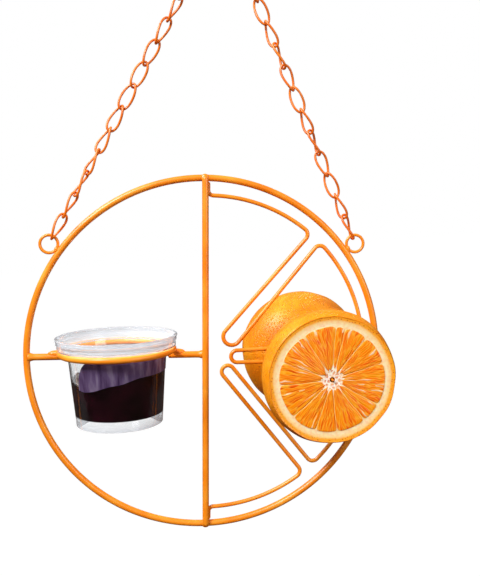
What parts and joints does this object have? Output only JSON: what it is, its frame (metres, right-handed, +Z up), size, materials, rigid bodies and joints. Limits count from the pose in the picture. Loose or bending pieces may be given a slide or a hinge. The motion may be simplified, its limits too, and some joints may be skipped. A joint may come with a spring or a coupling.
{
  "type": "oriole feeder",
  "caption": "Hanging wire oriole feeder: a ring on chains and a hook, with a clear jelly cup on one side and slice-shaped wire with skewered orange halves on the other.",
  "frame": {"origin": "inside top of the hook's upper bend, where it rests on what it hangs from", "axes": "+Z up, +X towards the orange halves, -Y to the front, where the centre bar is lapped on the ring"},
  "size_m": [0.1903, 0.0856, 0.3504],
  "materials": {
    "frame_coating": "satin powder coat",
    "chain_coating": "satin powder coat",
    "hook_coating": "satin powder coat",
    "clear_cup": "clear, glossy",
    "grape_jelly": "wet, glossy",
    "orange_fruit": "fresh fruit, peel and cut face"
  },
  "bodies": {
    "hook": {"s_hook": "hook_coating"},
    "level_14": {"left_link_14": "chain_coating", "right_link_14": "chain_coating"},
    "level_13": {"left_link_13": "chain_coating", "right_link_13": "chain_coating"},
    "level_12": {"left_link_12": "chain_coating", "right_link_12": "chain_coating"},
    "level_11": {"left_link_11": "chain_coating", "right_link_11": "chain_coating"},
    "level_10": {"left_link_10": "chain_coating", "right_link_10": "chain_coating"},
    "level_09": {"left_link_09": "chain_coating", "right_link_09": "chain_coating"},
    "level_08": {"left_link_08": "chain_coating", "right_link_08": "chain_coating"},
    "level_07": {"left_link_07": "chain_coating", "right_link_07": "chain_coating"},
    "level_06": {"left_link_06": "chain_coating", "right_link_06": "chain_coating"},
    "level_05": {"left_link_05": "chain_coating", "right_link_05": "chain_coating"},
    "level_04": {"left_link_04": "chain_coating", "right_link_04": "chain_coating"},
    "level_03": {"left_link_03": "chain_coating", "right_link_03": "chain_coating"},
    "level_02": {"left_link_02": "chain_coating", "right_link_02": "chain_coating"},
    "level_01": {"left_link_01": "chain_coating", "right_link_01": "chain_coating"},
    "frame": {"outer_ring": "frame_coating", "centre_bar": "frame_coating", "slice_wire": "frame_coating", "skewer": "frame_coating", "cup_ring": "frame_coating", "cup_arm_left": "frame_coating", "cup_arm_right": "frame_coating", "jelly_cup": "clear_cup", "grape_jelly": "grape_jelly", "eyelet_left": "frame_coating", "eyelet_right": "frame_coating"},
    "orange_front": {"orange_half_front": "orange_fruit"},
    "orange_rear": {"orange_half_rear": "orange_fruit"}
  },
  "joints": [
    {"name": "side_swing", "type": "hinge", "parent": "hook", "child": "level_14", "pos_m": [0, 0, -0.02838], "axis": [0, 1, 0], "range_deg": [-30, 30]},
    {"name": "chain_fold_13", "type": "hinge", "parent": "level_14", "child": "level_13", "pos_m": [-0.0016, 0, -0.04704], "axis": [0.9963, 0, -0.0854], "range_deg": [-25, 25]},
    {"name": "chain_fold_12", "type": "hinge", "parent": "level_13", "child": "level_12", "pos_m": [-0.00255, 0, -0.05813], "axis": [-0.9963, 0, 0.0854], "range_deg": [-25, 25]},
    {"name": "chain_fold_11", "type": "hinge", "parent": "level_12", "child": "level_11", "pos_m": [-0.0035, 0, -0.06921], "axis": [0.9963, 0, -0.0854], "range_deg": [-25, 25]},
    {"name": "chain_fold_10", "type": "hinge", "parent": "level_11", "child": "level_10", "pos_m": [-0.00445, 0, -0.08029], "axis": [-0.9963, 0, 0.0854], "range_deg": [-25, 25]},
    {"name": "chain_fold_09", "type": "hinge", "parent": "level_10", "child": "level_09", "pos_m": [-0.0054, 0, -0.09138], "axis": [0.9963, 0, -0.0854], "range_deg": [-25, 25]},
    {"name": "chain_fold_08", "type": "hinge", "parent": "level_09", "child": "level_08", "pos_m": [-0.00635, 0, -0.10246], "axis": [-0.9963, 0, 0.0854], "range_deg": [-25, 25]},
    {"name": "chain_fold_07", "type": "hinge", "parent": "level_08", "child": "level_07", "pos_m": [-0.0073, 0, -0.11355], "axis": [0.9963, 0, -0.0854], "range_deg": [-25, 25]},
    {"name": "chain_fold_06", "type": "hinge", "parent": "level_07", "child": "level_06", "pos_m": [-0.00825, 0, -0.12463], "axis": [-0.9963, 0, 0.0854], "range_deg": [-25, 25]},
    {"name": "chain_fold_05", "type": "hinge", "parent": "level_06", "child": "level_05", "pos_m": [-0.0092, 0, -0.13571], "axis": [0.9963, 0, -0.0854], "range_deg": [-25, 25]},
    {"name": "chain_fold_04", "type": "hinge", "parent": "level_05", "child": "level_04", "pos_m": [-0.01015, 0, -0.1468], "axis": [-0.9963, 0, 0.0854], "range_deg": [-25, 25]},
    {"name": "chain_fold_03", "type": "hinge", "parent": "level_04", "child": "level_03", "pos_m": [-0.0111, 0, -0.15788], "axis": [0.9963, 0, -0.0854], "range_deg": [-25, 25]},
    {"name": "chain_fold_02", "type": "hinge", "parent": "level_03", "child": "level_02", "pos_m": [-0.01205, 0, -0.16897], "axis": [-0.9963, 0, 0.0854], "range_deg": [-25, 25]},
    {"name": "chain_fold_01", "type": "hinge", "parent": "level_02", "child": "level_01", "pos_m": [-0.013, 0, -0.18005], "axis": [0.9963, 0, -0.0854], "range_deg": [-25, 25]},
    {"name": "frame_tilt", "type": "hinge", "parent": "level_01", "child": "frame", "pos_m": [-0.01396, 0, -0.19113], "axis": [-0.9963, 0, 0.0854], "range_deg": [-25, 25]},
    {"name": "orange_front_slide", "type": "slide", "parent": "frame", "child": "orange_front", "axis": [0, -1, 0], "range_m": [0, 0.045]},
    {"name": "orange_rear_slide", "type": "slide", "parent": "frame", "child": "orange_rear", "axis": [0, 1, 0], "range_m": [0, 0.045]}
  ]
}
